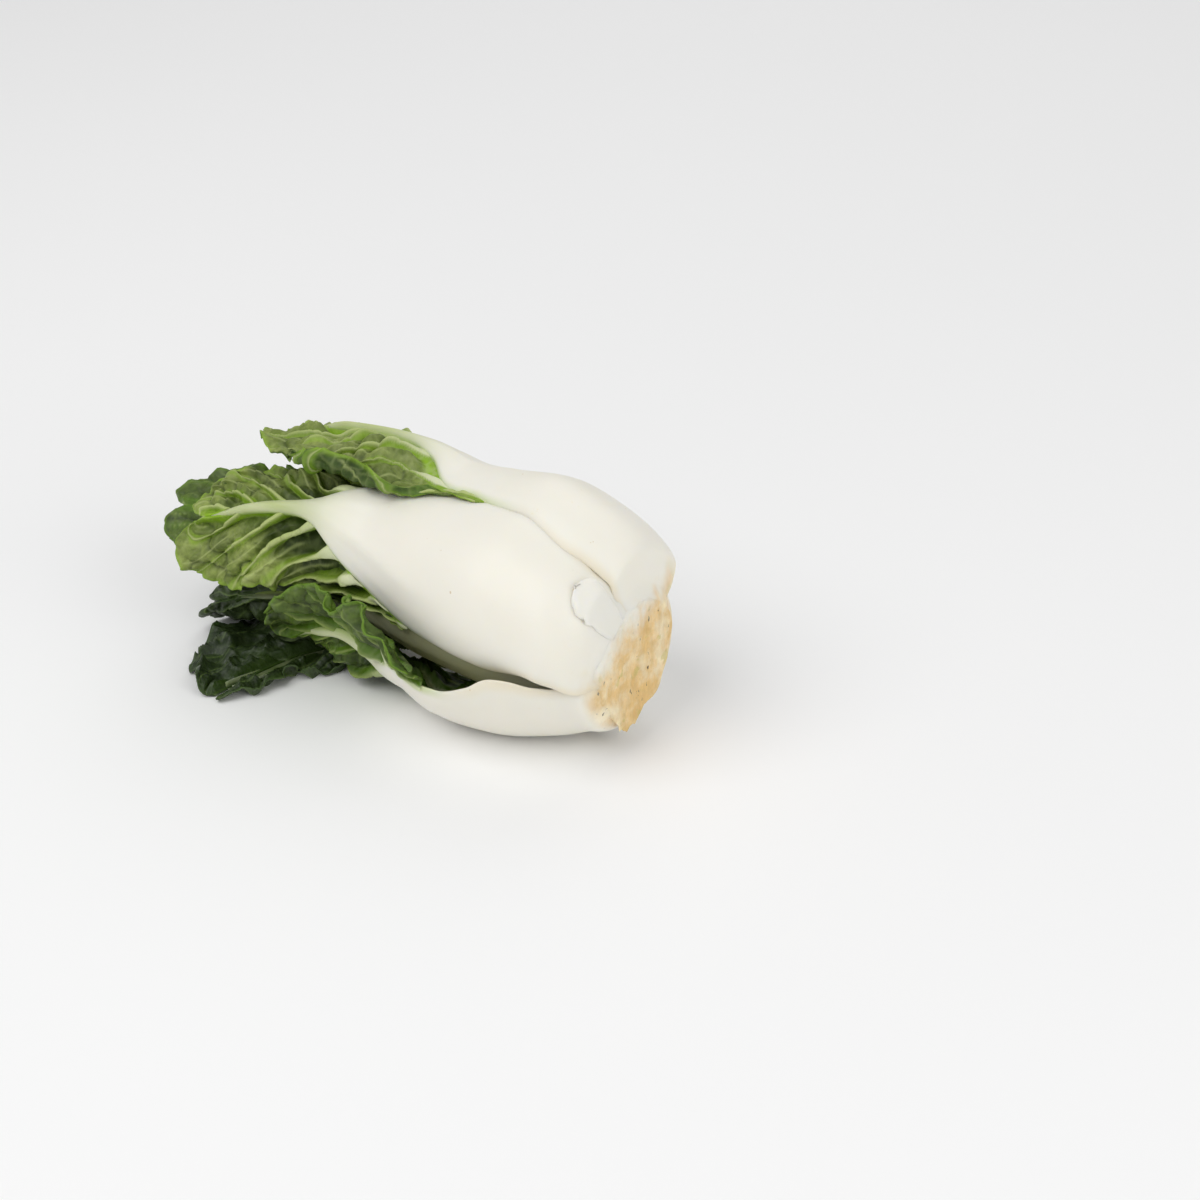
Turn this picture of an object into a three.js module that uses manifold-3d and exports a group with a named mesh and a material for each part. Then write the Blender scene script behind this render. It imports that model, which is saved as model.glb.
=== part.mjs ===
// One head of bok choy, cut from its root and laid on its side, in millimetres, +Z up.
// The stem's cut end points along +X and the leaves along -X. The origin is on the table,
// at the middle of the small flat that the lowest stalk rests on.
//
// Each leaf is a white stalk, whose midrib runs on as a narrow ridge, and a green blade.
// A blade is a thin sheet made of rows. Every row starts at the side of the stalk or midrib and
// leans forward, as the side ribs of the real leaf do, and every third row is such a rib.
import * as THREE from 'three';
import { mergeVertices } from 'three/addons/utils/BufferGeometryUtils.js';
import Module from 'manifold-3d';

const wasm = await Module();
wasm.setup();

// Where the head's own axis starts, at the top of the cut stem. Its height changes along the head:
// it rises from the stem to the belly, and sinks again where the leaves droop.
const FOOT_X = 39;
const AXIS_Y = 5;
const AXIS_HEIGHTS = [
  [-8, 30], [0, 31], [14, 34], [32, 36.5], [85, 37.5], [110, 35], [140, 26], [175, 16],
];

const STEM_RADIUS = 19.6;
const STEM_LENGTH = 8;
const CORE_RADIUS = 8;
const CORE_HEIGHT = 16;

const BLADE_THICKNESS = 0.8;
const STALK_EDGE_THICKNESS = 1.5;
const GAP = 0.45;
const TABLE_SOFTNESS = 2;
const FLAT_DEPTH = 0.3;

const { degToRad, radToDeg, lerp, clamp } = THREE.MathUtils;

/** A smooth curve through [place, value] pairs, which never swings past a value. */
function through(pairs) {
  const last = pairs.length - 1;
  const secants = pairs.slice(1).map(([x, y], i) => (y - pairs[i][1]) / (x - pairs[i][0]));
  const slopes = pairs.map((_, i) => {
    const [a, b] = [secants[Math.max(i - 1, 0)], secants[Math.min(i, last - 1)]];
    return a * b > 0 ? (2 * a * b) / (a + b) : 0;
  });
  return (place) => {
    const x = clamp(place, pairs[0][0], pairs[last][0]);
    const after = pairs.findIndex(([end], i) => i > 0 && x <= end);
    const [x0, y0] = pairs[after - 1];
    const [x1, y1] = pairs[after];
    const span = x1 - x0;
    const t = (x - x0) / span;
    const s = 1 - t;
    const bend = slopes[after - 1] * s - slopes[after] * t;
    return y0 * s * s * (1 + 2 * t) + y1 * t * t * (3 - 2 * t) + span * t * s * bend;
  };
}

const flat = (value) => () => value;
const axisHeight = through(AXIS_HEIGHTS);

/** Keeps a height above the table, smoothly. What is pressed on it may dip a little below. */
function aboveTable(z, dip) {
  const reach = Math.hypot(z, TABLE_SOFTNESS);
  return (z + reach) / 2 - (dip * (1 - z / reach)) / 2;
}

/**
 * A point from its distance along the head, its direction in degrees and its distance from the axis.
 * It stays above whatever it lies on, which is the table unless a height is given.
 */
function around({ along, direction, radius }, dip = 0, lies = 0) {
  const turn = degToRad(direction);
  const y = AXIS_Y - radius * Math.cos(turn);
  const z = axisHeight(along) + radius * Math.sin(turn);
  return new THREE.Vector3(FOOT_X - along, y, lies + aboveTable(z - lies, dip));
}

/**
 * A leaf's midrib at any station, which is 0 at the foot, 1 at the neck where the stalk ends, and 2
 * at the tip. The points of its path are [along, radius, degrees off the leaf's own direction].
 */
function midribOf(leaf) {
  const travelled = [0];
  leaf.path.slice(1).forEach(([along, radius, off], i) => {
    const [a, r, o] = leaf.path[i];
    travelled.push(travelled[i] + Math.hypot(along - a, radius - r, degToRad(off - o) * r));
  });
  const toNeck = travelled[leaf.neck];
  const toTip = travelled.at(-1);
  const stations = travelled.map((d) => (d < toNeck ? d / toNeck : 1 + (d - toNeck) / (toTip - toNeck)));
  const [along, radius, off] = [0, 1, 2].map((k) => through(leaf.path.map((p, i) => [stations[i], p[k]])));
  return (station) => ({
    along: along(station),
    radius: radius(station),
    direction: leaf.direction + off(station),
  });
}

/** A closed body from a grid of outer points and inner points, without the cells that `open` names. */
function sheet(outer, inner, open = () => false) {
  const rows = outer.length;
  const columns = outer[0].length;
  const positions = [...outer.flat(), ...inner.flat()].flatMap((p) => [p.x, p.y, p.z]);
  const at = (i, j) => i * columns + j;
  const under = rows * columns;
  const there = (i, j) => i >= 0 && j >= 0 && i < rows - 1 && j < columns - 1 && !open(i, j);
  const faces = [];
  const wall = (a, b) => faces.push(a, a + under, b, b, a + under, b + under);
  for (let i = 0; i < rows - 1; i += 1) {
    for (let j = 0; j < columns - 1; j += 1) {
      if (!there(i, j)) continue;
      const [a, b, c, d] = [at(i, j), at(i, j + 1), at(i + 1, j + 1), at(i + 1, j)];
      faces.push(a, b, c, a, c, d);
      faces.push(a + under, c + under, b + under, a + under, d + under, c + under);
      if (!there(i - 1, j)) wall(a, b);
      if (!there(i, j + 1)) wall(b, c);
      if (!there(i + 1, j)) wall(c, d);
      if (!there(i, j - 1)) wall(d, a);
    }
  }
  const geometry = new THREE.BufferGeometry();
  geometry.setAttribute('position', new THREE.Float32BufferAttribute(positions, 3));
  geometry.setIndex(faces);
  return geometry;
}

/** A closed geometry as a solid that can be cut. */
function solidOf(geometry) {
  const bare = geometry.clone();
  bare.deleteAttribute('normal');
  bare.deleteAttribute('uv');
  const merged = mergeVertices(bare, 1e-4);
  return new wasm.Manifold(new wasm.Mesh({
    numProp: 3,
    vertProperties: merged.attributes.position.array,
    triVerts: new Uint32Array(merged.index.array),
  }));
}

/** A solid as a geometry. */
function geometryOf(solid) {
  const { vertProperties, triVerts } = solid.getMesh();
  const geometry = new THREE.BufferGeometry();
  geometry.setAttribute('position', new THREE.BufferAttribute(vertProperties, 3));
  geometry.setIndex(new THREE.BufferAttribute(triVerts, 1));
  return geometry;
}

// The form that all leaves share, by station. Half widths are in degrees round the axis, leans in
// degrees from square across the leaf, and the rest in millimetres.
const STALK_HALF_WIDTH = through([
  [0, 34], [0.22, 36], [0.45, 49], [0.68, 51], [0.88, 42], [1, 31], [1.12, 18], [1.25, 8], [1.4, 4.5],
  [2, 1.6],
]);
const STALK_THICKNESS = through([[0, 4.5], [0.3, 6.8], [0.7, 6.2], [1, 4.2], [1.2, 3]]);
const RIDGE_HEIGHT = through([[0.95, 0], [1.2, 2.2], [1.5, 1.6], [2, 0.8]]);
const RIDGE_ROUNDNESS = 0.6;
const ROW_LENGTH = through([
  [0.7, 1], [0.85, 5], [1, 13], [1.2, 28], [1.5, 36], [1.75, 31], [1.9, 20], [2, 4],
]);
const ROW_LEAN = through([[0.7, 66], [1, 54], [1.35, 38], [1.65, 44], [1.85, 54], [2, 74]]);
const BLADE_START = 0.74;
const TIP = 2;
const RIB_PERIOD_ROWS = 3;

// From here on the midrib leaves the blade's plane, until it lies wholly outside the closed blade.
const LIFT_START = 0.95;
const LIFT_END = 1.12;
const BLADE_CLOSES = 1.14;
const RIDGE_BASE = 0.6;

// Past the neck a leaf's cross sections turn to where its midrib is heading.
const TURN_START = 0.9;
const TURN_END = 1.2;
const HEADING_STEP = 0.04;

// A row this long carries the leaf's full waves and puckers. Two unlike ripples make each wave.
const FULL_ROW_LENGTH = 22;
const WAVE_STEEPNESS = 1.6;
const SECOND_RIPPLE = { height: 0.5, waves: 2.3, phase: 2 };
const OTHER_HALF_PHASE = 0.7;
const RIB_FADE = 1.2;

/** The angle between the head's axis and where the midrib is heading, which counts past the neck. */
function headingAt(midribAt, station) {
  const ahead = midribAt(Math.min(station + HEADING_STEP, TIP));
  const behind = midribAt(Math.min(station, TIP - HEADING_STEP) - HEADING_STEP);
  const sideways = degToRad(ahead.direction - behind.direction) * ahead.radius;
  const counts = clamp((station - TURN_START) / (TURN_END - TURN_START), 0, 1);
  return counts * Math.atan2(sideways, ahead.along - behind.along);
}

/** A place that lies forward and sideways of another, on the same round, with the heading followed. */
function offset(place, heading, forward, sideways) {
  const arc = forward * Math.sin(heading) + sideways * Math.cos(heading);
  return {
    along: place.along + forward * Math.cos(heading) - sideways * Math.sin(heading),
    direction: place.direction + radToDeg(arc / place.radius),
    radius: place.radius,
  };
}

/** A place on the stalk's outer face, at a share of its half width. */
function stalkFace(leaf, midribAt, station, share) {
  const half = share > 0 ? leaf.upper : leaf.lower;
  const midrib = midribAt(station);
  const halfWidth = degToRad(STALK_HALF_WIDTH(station)) * half.width(station) * midrib.radius;
  const place = offset(midrib, headingAt(midribAt, station), 0, share * halfWidth);
  place.radius -= half.drop(station) * share ** 2;
  return place;
}

/** The stations of a blade's rows: each rib, and the panel rows between two ribs. */
function bladeStations(leaf) {
  const count = leaf.ribs * RIB_PERIOD_ROWS + 1;
  return Array.from({ length: count }, (_, i) => lerp(BLADE_START, TIP, i / (count - 1)));
}

/** Outward normals of a grid of points, from the differences of its neighbours. */
function gridNormals(grid) {
  const rows = grid.length;
  const columns = grid[0].length;
  return grid.map((row, i) => row.map((_, j) => {
    const alongRow = grid[i][Math.min(j + 1, columns - 1)].clone().sub(grid[i][Math.max(j - 1, 0)]);
    const alongLeaf = grid[Math.min(i + 1, rows - 1)][j].clone().sub(grid[Math.max(i - 1, 0)][j]);
    return alongRow.cross(alongLeaf).normalize();
  }));
}

/** A grid moved along its normals, by a distance for each row and column. */
function moved(grid, normals, distance) {
  return grid.map((row, i) => row.map((p, j) => p.clone().addScaledVector(normals[i][j], distance(i, j))));
}

/** A leaf's white stalk with its midrib, which runs on outside the blade. */
function stalk(leaf, midribAt) {
  const below = Array.from({ length: leaf.stalkRows }, (_, i) => (BLADE_START * i) / leaf.stalkRows);
  const stations = [...below, ...bladeStations(leaf).slice(0, -2)];
  const shares = Array.from({ length: leaf.stalkCells + 1 }, (_, j) => (2 * j) / leaf.stalkCells - 1);
  const face = stations.map((station) => (
    shares.map((share) => around(stalkFace(leaf, midribAt, station, share), FLAT_DEPTH))
  ));
  const normals = gridNormals(face);
  const fullness = shares.map((share) => 1 - share ** 2);
  const lifted = stations.map((station) => clamp((station - LIFT_START) / (LIFT_END - LIFT_START), 0, 1));
  const outer = moved(face, normals, (i, j) => {
    const ridge = RIDGE_HEIGHT(stations[i]) * leaf.size * fullness[j] ** RIDGE_ROUNDNESS;
    return ridge + lifted[i] * (GAP + RIDGE_BASE);
  });
  const inner = moved(face, normals, (i, j) => {
    const middleDepth = STALK_THICKNESS(stations[i]) * leaf.size;
    return lerp(-lerp(STALK_EDGE_THICKNESS, middleDepth, fullness[j]), GAP, lifted[i]);
  });
  return sheet(outer, inner);
}

/** One row of a blade, from the stalk's side to the margin. */
function bladeRow(leaf, midribAt, station, side, rowIndex) {
  const half = side > 0 ? leaf.upper : leaf.lower;
  const root = stalkFace(leaf, midribAt, station, side);
  const heading = headingAt(midribAt, station);
  const lean = degToRad(ROW_LEAN(station) * half.lean(station));
  const length = ROW_LENGTH(station) * leaf.size * half.breadth(station);
  const grown = Math.min(1, length / FULL_ROW_LENGTH);
  const phase = leaf.phase + (side > 0 ? 0 : OTHER_HALF_PHASE);
  const second = SECOND_RIPPLE.waves * leaf.waves * station + SECOND_RIPPLE.phase * leaf.phase;
  const ripple = Math.sin(Math.PI * (leaf.waves * station + phase))
    + SECOND_RIPPLE.height * Math.sin(Math.PI * second);
  const pucker = rowIndex % RIB_PERIOD_ROWS === 0 ? 0 : leaf.pucker;
  return Array.from({ length: leaf.bladeCells + 1 }, (_, j) => {
    const t = j / leaf.bladeCells;
    const sideways = side * (GAP + length * t * Math.cos(lean));
    const place = offset(root, heading, length * t * Math.sin(lean), sideways);
    const wave = leaf.wave * ripple * t ** WAVE_STEEPNESS;
    place.radius += grown * (half.rise(station) * t * (2 - t) - pucker * Math.sin(Math.PI * t) + wave);
    return around(place, 0, leaf.lies(station));
  });
}

/** A leaf's green blade: both halves in one sheet, which closes behind the midrib. */
function blade(leaf, midribAt) {
  const stations = bladeStations(leaf);
  const middle = leaf.bladeCells + 1;
  const grid = stations.map((station, i) => {
    const lower = bladeRow(leaf, midribAt, station, -1, i).reverse();
    const upper = bladeRow(leaf, midribAt, station, 1, i);
    return [...lower, around(midribAt(station), 0, leaf.lies(station)), ...upper];
  });
  const normals = gridNormals(grid);
  const outer = moved(grid, normals, (i, j) => {
    const t = (Math.abs(j - middle) - 1) / leaf.bladeCells;
    return i % RIB_PERIOD_ROWS === 0 && t > 0 ? leaf.rib * (RIB_FADE - t) : 0;
  });
  const inner = moved(grid, normals, () => -BLADE_THICKNESS);
  const open = (i, j) => (j === middle || j === middle - 1) && stations[i] < BLADE_CLOSES;
  return sheet(outer, inner, open);
}

// The cut stem's rings: [along, share of its radius, share of its ragged tip].
const STEM_RINGS = [
  [-STEM_LENGTH, 0, 0], [-STEM_LENGTH + 0.5, 0.5, 0], [-STEM_LENGTH, 0.92, 1], [1.2 - STEM_LENGTH, 1, 0.9],
  [-4.4, 1, 0], [-1.4, 0.98, 0], [-1, CORE_RADIUS / STEM_RADIUS, 0],
  [0.7 * CORE_HEIGHT, (0.7 * CORE_RADIUS) / STEM_RADIUS, 0], [CORE_HEIGHT, 0, 0],
];
const STEM_SIDES = 36;
// Its outline's unevenness: [share of the radius, lobes, phase], and its ragged tip, which hangs down.
const STEM_LOBES = [[0.035, 3, 1], [0.03, 5, 0], [0.02, 11, 0]];
const STEM_TIP = { direction: 283, halfWidth: 34, length: 0.24 };

/** The cut stem: an uneven plate under the stalks' feet, and the core that they stand around. */
function stem() {
  const positions = [];
  const faces = [];
  STEM_RINGS.forEach(([along, share, tipShare]) => {
    for (let i = 0; i < STEM_SIDES; i += 1) {
      const direction = (360 * i) / STEM_SIDES;
      const turn = degToRad(direction);
      const waves = STEM_LOBES.map(([size, lobes, phase]) => size * Math.sin(lobes * turn + phase));
      const uneven = waves.reduce((sum, wave) => sum + wave, 1);
      const fromTip = clamp((direction - STEM_TIP.direction) / STEM_TIP.halfWidth, -1, 1);
      const tip = tipShare * STEM_TIP.length * Math.cos((Math.PI / 2) * fromTip) ** 2;
      const radius = STEM_RADIUS * (uneven * share + tip);
      positions.push(...around({ along, direction, radius }).toArray());
    }
  });
  for (let k = 0; k < STEM_RINGS.length - 1; k += 1) {
    for (let i = 0; i < STEM_SIDES; i += 1) {
      const next = (i + 1) % STEM_SIDES;
      const [a, b] = [k * STEM_SIDES + i, k * STEM_SIDES + next];
      const [c, d] = [b + STEM_SIDES, a + STEM_SIDES];
      if (STEM_RINGS[k][1] > 0) faces.push(a, b, c);
      if (STEM_RINGS[k + 1][1] > 0) faces.push(a, c, d);
    }
  }
  const geometry = new THREE.BufferGeometry();
  geometry.setAttribute('position', new THREE.Float32BufferAttribute(positions, 3));
  geometry.setIndex(faces);
  return mergeVertices(geometry, 1e-3);
}

const STUB = {
  direction: 57,
  path: [[-5.7, 21.8, 0], [-6, 26.5, 0], [-3.6, 31.8, 0], [2.5, 35.8, 0]],
  neck: 2,
  halfWidth: 14,
  thickness: 1.6,
  crown: 0.6,
  rows: 8,
  cells: 4,
  end: 1.999,
  bluntness: 0.03,
};

/** What is left of a leaf that was trimmed off: a short scale with a rounded end. */
function stub() {
  const midribAt = midribOf(STUB);
  const face = Array.from({ length: STUB.rows + 1 }, (_, i) => {
    const midrib = midribAt((STUB.end * i) / STUB.rows);
    const half = STUB.halfWidth * Math.sqrt(Math.max(STUB.bluntness, 1 - (i / STUB.rows) ** 3));
    return Array.from({ length: STUB.cells + 1 }, (__, j) => {
      const share = (2 * j) / STUB.cells - 1;
      return around({
        along: midrib.along,
        direction: midrib.direction + share * half,
        radius: midrib.radius - STUB.crown * share ** 2,
      });
    });
  });
  return sheet(face, moved(face, gridNormals(face), () => -STUB.thickness));
}

/** How far a stalk's margins are tucked in under its neighbours, or stand out over them if negative. */
const tucked = (depth) => through([
  [0, 0], [0.2, 0.4 * depth], [0.5, depth], [0.9, 0.8 * depth], [1.15, 0.2 * depth], [1.3, 0],
]);

/** What every leaf has unless its own entry says otherwise. */
const LEAF = {
  neck: 6,
  size: 1,
  lies: flat(0),
  wave: 1.5,
  waves: 5,
  phase: 0,
  pucker: 1.3,
  rib: 0.8,
  ribs: 7,
  stalkRows: 9,
  stalkCells: 6,
  bladeCells: 5,
};

/** What each half of a leaf has unless its own entry says otherwise. Width and breadth are factors. */
const HALF = { width: flat(1), breadth: flat(1), lean: flat(1), rise: flat(0), drop: tucked(1) };

const LEAVES = [
  {
    name: 'front',
    direction: 36,
    path: [
      [-3, 21.8, 0], [-3, 26, 0], [-0.5, 30.5, 0], [8, 35, 0], [30, 37, 0],
      [55, 34, 2], [80, 30.5, 7], [98, 30.5, 6], [118, 32, 1], [138, 32, -3],
    ],
    upper: {
      width: through([[0, 1.12], [0.3, 1.12], [0.5, 1]]),
      breadth: through([[0.8, 0.5], [1.5, 0.7]]),
      rise: through([[0.8, -2.6], [1.1, -4], [1.5, -5]]),
      drop: through([[0, 0.6], [0.15, 3], [0.5, 5], [0.9, 4], [1.15, 1], [1.3, 0]]),
    },
    lower: {
      breadth: through([[0.8, 1.6], [1.05, 1.3], [1.3, 0.9], [2, 0.75]]),
      rise: through([[0.8, -1], [1.3, -2], [2, 0]]),
      drop: tucked(6),
    },
    phase: 0.2,
  },
  {
    name: 'top',
    direction: 108,
    path: [
      [-3, 21.8, 0], [-4.6, 27, 0], [-3.8, 32, 0], [8, 37.5, 0], [28, 39.5, 0],
      [46, 36.5, 0], [64, 34, 0], [84, 34, 0], [108, 34, 0], [130, 33, 0],
    ],
    upper: { width: through([[0, 1], [0.5, 0.9], [1, 0.8]]), breadth: flat(0.85) },
    lower: {
      width: through([[0, 0.9], [0.15, 1], [0.3, 0.9], [0.45, 0.68], [0.6, 0.56], [0.8, 0.58], [1, 0.8]]),
      breadth: through([[0.8, 2], [1, 1.5], [1.3, 0.95], [1.6, 0.8], [2, 0.7]]),
      rise: through([[0.8, 2], [1.2, 2.5], [1.6, 0]]),
      drop: tucked(2.5),
    },
    phase: 0.9,
    ribs: 8,
  },
  {
    name: 'low_front',
    direction: -48,
    path: [
      [-3, 21.8, 0], [-2.5, 24, 0], [2, 26.4, 0], [12, 33, 0], [30, 41, 0],
      [44, 42.5, 0], [60, 38, 2], [74, 32, 7], [86, 30, 9], [97, 31.5, 5], [108, 36, -2],
    ],
    size: 0.9,
    lies: through([[0.9, 0], [1.2, 3.4], [1.55, 8]]),
    upper: {
      width: through([
        [0, 1.1], [0.12, 1.24], [0.24, 1.2], [0.38, 0.98], [0.5, 0.75], [0.7, 0.56], [1, 0.8],
      ]),
      breadth: through([[0.76, 3.5], [0.85, 3], [0.95, 2], [1.05, 1.3], [1.3, 0.68], [2, 0.6]]),
      lean: through([[0.8, 0.3], [1.2, 0.65]]),
      rise: flat(1),
      drop: through([[0, 0], [0.2, -1.6], [0.4, -2.2], [0.7, 0]]),
    },
    lower: {
      width: through([[0, 1], [0.7, 0.85], [1, 0.8]]),
      breadth: through([[0.8, 0.5], [1.1, 0.8], [1.35, 0.7], [1.6, 0.3]]),
      lean: flat(1.2),
      rise: through([[0.8, 0], [1, 4], [1.3, 13], [1.6, 9], [2, 2]]),
      drop: tucked(-2),
    },
    phase: 1.6,
    ribs: 6,
  },
  {
    name: 'back',
    direction: 180,
    path: [
      [-3, 21.8, 0], [-2.5, 24.5, 0], [1, 27, 0], [12, 31, 0], [30, 35, 0],
      [56, 32.5, 0], [80, 28, 0], [100, 28, 4], [124, 31, 18], [146, 35, 36],
    ],
    upper: { breadth: flat(0.75), rise: flat(-2), drop: tucked(6) },
    lower: {
      width: through([[0, 0.9], [0.3, 0.96], [0.45, 1]]),
      breadth: flat(0.75),
      rise: flat(-2),
      drop: tucked(6.8),
    },
    phase: 2.3,
  },
  {
    name: 'low_back',
    direction: 243,
    path: [
      [-2.8, 22.2, 0], [-2.2, 24, 0], [2, 26.6, 0], [12, 30.8, 0], [30, 37, 0],
      [56, 36, 0], [78, 31, 4], [96, 36, 32], [108, 46, 58], [113, 64, 82],
    ],
    upper: {
      width: flat(0.82),
      breadth: through([[0.78, 5], [0.85, 3.2], [0.92, 2], [1, 1], [1.12, 0.55], [1.25, 0.4]]),
      lean: through([[0.9, 0.6], [1.3, 1]]),
      rise: through([[0.8, -1], [1, 0], [1.15, 8], [1.5, 6]]),
      drop: tucked(7),
    },
    lower: {
      width: through([[0, 0.75], [0.3, 0.78], [0.5, 0.8]]),
      breadth: through([[1.5, 0.9], [1.8, 0.78]]),
      rise: flat(1),
      drop: tucked(-2),
    },
    phase: 3.1,
  },
];

// The inner leaves are small and young. Each stands a quarter turn on, and closer in.
const INNER_LEAVES = 4;
const INNER_FIRST_DIRECTION = 44;
const INNER_NECK_RADIUS = 22;
const INNER_STEP = 2;
for (let i = 0; i < INNER_LEAVES; i += 1) {
  const neck = INNER_NECK_RADIUS - INNER_STEP * i;
  LEAVES.push({
    name: `inner_${i + 1}`,
    direction: INNER_FIRST_DIRECTION - i * 90,
    path: [
      [3, 9.5, 0], [4.5, 13, 0], [8, 17.5, 0], [18, 23, 0], [36, 26, 0],
      [60, 25 - 1.5 * i, 0], [84, neck, 0], [96, neck, 0], [118, neck + 1, 0],
      [154 - 10 * i, neck + 3 - i, 0],
    ],
    size: 0.66,
    upper: { width: flat(0.84), breadth: flat(0.9) },
    lower: { width: flat(0.84), breadth: flat(0.9) },
    wave: 0.5,
    phase: i,
    pucker: 0.7,
    rib: 0.4,
    ribs: 4,
    stalkRows: 6,
    stalkCells: 4,
    bladeCells: 4,
  });
}

// The second inner leaf is older than the others: it hangs forward, and its lower half is wide.
Object.assign(LEAVES.find(({ name }) => name === 'inner_2'), {
  path: [
    [3, 9.5, 0], [4.5, 13, 0], [8, 17.5, 0], [18, 23, 0], [36, 26, 0], [60, 23.5, 2],
    [80, 21, 6], [94, 21.5, 12], [112, 24.5, 17], [134, 30, 20],
  ],
  size: 0.8,
  ribs: 5,
  upper: { width: flat(0.7), breadth: flat(0.45) },
  lower: { width: flat(0.7), breadth: flat(1.1), rise: through([[1, 0], [1.4, 4], [2, 3]]) },
});

const WHITE = new THREE.MeshStandardMaterial({ color: 0xf0efe4, roughness: 0.45, metalness: 0 });
const GREEN = new THREE.MeshStandardMaterial({ color: 0x3d6b1e, roughness: 0.5, metalness: 0 });
const TAN = new THREE.MeshStandardMaterial({ color: 0xd9c197, roughness: 0.8, metalness: 0 });

const TABLE = { width: 600, depth: 20 };

/** Takes off whatever is under the table, which leaves a flat. */
function restedOnTable(geometry) {
  geometry.computeBoundingBox();
  if (geometry.boundingBox.min.z >= 0) return geometry;
  const table = new THREE.BoxGeometry(TABLE.width, TABLE.width, TABLE.depth);
  table.translate(0, 0, -TABLE.depth / 2);
  return geometryOf(solidOf(geometry).subtract(solidOf(table)));
}

const head = new THREE.Group();

function add(name, geometry, material) {
  const mesh = new THREE.Mesh(restedOnTable(geometry), material);
  mesh.name = name;
  head.add(mesh);
}

add('cut_stem', stem(), TAN);
add('trimmed_stub', stub(), WHITE);
for (const own of LEAVES) {
  const leaf = { ...LEAF, ...own, upper: { ...HALF, ...own.upper }, lower: { ...HALF, ...own.lower } };
  const midribAt = midribOf(leaf);
  add(`${leaf.name}_stalk`, stalk(leaf, midribAt), WHITE);
  add(`${leaf.name}_blade`, blade(leaf, midribAt), GREEN);
}

export default head;
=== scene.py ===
"""One head of bok choy on its side: every solid of the frame gets a finer piece of the same form.

The forms are the frame's own formulas, in millimetres, with many more rows, and with what is too
fine for the solids: the side ribs' roots, the puckered panels between them, fine veins, frilled
margins, rounded stalk edges and the torn, fibrous cut of the stem.
"""

import math

import bpy
import numpy as np
from mathutils import Matrix, Vector


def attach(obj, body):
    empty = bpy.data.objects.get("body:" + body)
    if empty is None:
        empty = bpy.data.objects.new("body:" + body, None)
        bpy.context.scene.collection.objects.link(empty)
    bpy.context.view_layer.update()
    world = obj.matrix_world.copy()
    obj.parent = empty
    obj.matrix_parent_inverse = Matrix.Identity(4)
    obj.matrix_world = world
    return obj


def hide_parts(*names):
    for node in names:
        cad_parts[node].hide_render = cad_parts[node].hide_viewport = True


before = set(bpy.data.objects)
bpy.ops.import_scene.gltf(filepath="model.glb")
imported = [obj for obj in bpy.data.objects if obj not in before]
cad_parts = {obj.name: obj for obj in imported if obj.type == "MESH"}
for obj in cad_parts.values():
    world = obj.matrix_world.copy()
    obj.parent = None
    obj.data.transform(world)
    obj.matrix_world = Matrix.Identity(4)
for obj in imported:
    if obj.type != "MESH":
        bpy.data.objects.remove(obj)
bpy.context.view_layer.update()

MM = 0.001

# The head's own axis, and the sizes that all pieces share, as in the frame's source.
FOOT_X = 39
AXIS_Y = 5
AXIS_HEIGHTS = [(-8, 30), (0, 31), (14, 34), (32, 36.5), (85, 37.5), (110, 35), (140, 26), (175, 16)]
STEM_RADIUS = 19.6
BLADE_THICKNESS = 0.8
MARGIN_THICKNESS = 0.5
STALK_EDGE_THICKNESS = 1.5
TABLE_SOFTNESS = 2
FLAT_DEPTH = 0.3
ROOT_OVERLAP = 0.7
FOOT_RISE = 2.2
FOOT_REACH = 4.4
FOLD_RADIUS = 1.3
FOLD_ANGLE = math.radians(170)


# ---- Helpers for smooth curves, noise and cells ----

def through(pairs):
    """A smooth curve through (place, value) pairs, which never swings past a value."""
    xs = np.array([pair[0] for pair in pairs], float)
    ys = np.array([pair[1] for pair in pairs], float)
    secants = np.diff(ys) / np.diff(xs)
    before = np.concatenate([secants[:1], secants])
    after = np.concatenate([secants, secants[-1:]])
    same_way = before * after > 0
    slopes = np.where(same_way, 2 * before * after / np.where(same_way, before + after, 1), 0)

    def at(place):
        x = np.clip(place, xs[0], xs[-1])
        i = np.clip(np.searchsorted(xs, x), 1, len(xs) - 1)
        span = xs[i] - xs[i - 1]
        t = (x - xs[i - 1]) / span
        s = 1 - t
        bend = slopes[i - 1] * s - slopes[i] * t
        return ys[i - 1] * s * s * (1 + 2 * t) + ys[i] * t * t * (3 - 2 * t) + span * t * s * bend
    return at


def flat(value):
    return lambda place: value + 0 * np.asarray(place, float)


def lerp(a, b, t):
    return a + (b - a) * t


def step(start, end, x):
    """0 before start, 1 after end, smooth between."""
    t = np.clip((x - start) / (end - start), 0, 1)
    return t * t * (3 - 2 * t)


NOISE_CELLS = 32
NOISE_TABLE = np.random.default_rng(7).uniform(-1, 1, (NOISE_CELLS,) * 3)


def noise(x, y, z):
    """Smooth noise from -1 to 1, one bump per unit."""
    x, y, z = np.broadcast_arrays(x, y, z)
    cell = [np.floor(v).astype(int) for v in (x, y, z)]
    fx, fy, fz = [(lambda f: f * f * (3 - 2 * f))(v - c) for v, c in zip((x, y, z), cell)]
    total = 0
    for dx in (0, 1):
        for dy in (0, 1):
            for dz in (0, 1):
                corner = NOISE_TABLE[tuple((c + d) % NOISE_CELLS for c, d in zip(cell, (dx, dy, dz)))]
                weight = (fx if dx else 1 - fx) * (fy if dy else 1 - fy) * (fz if dz else 1 - fz)
                total = total + corner * weight
    return total


JITTER_CELLS = 64
JITTER = np.random.default_rng(11).uniform(0.12, 0.88, (JITTER_CELLS, JITTER_CELLS, 2))


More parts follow.
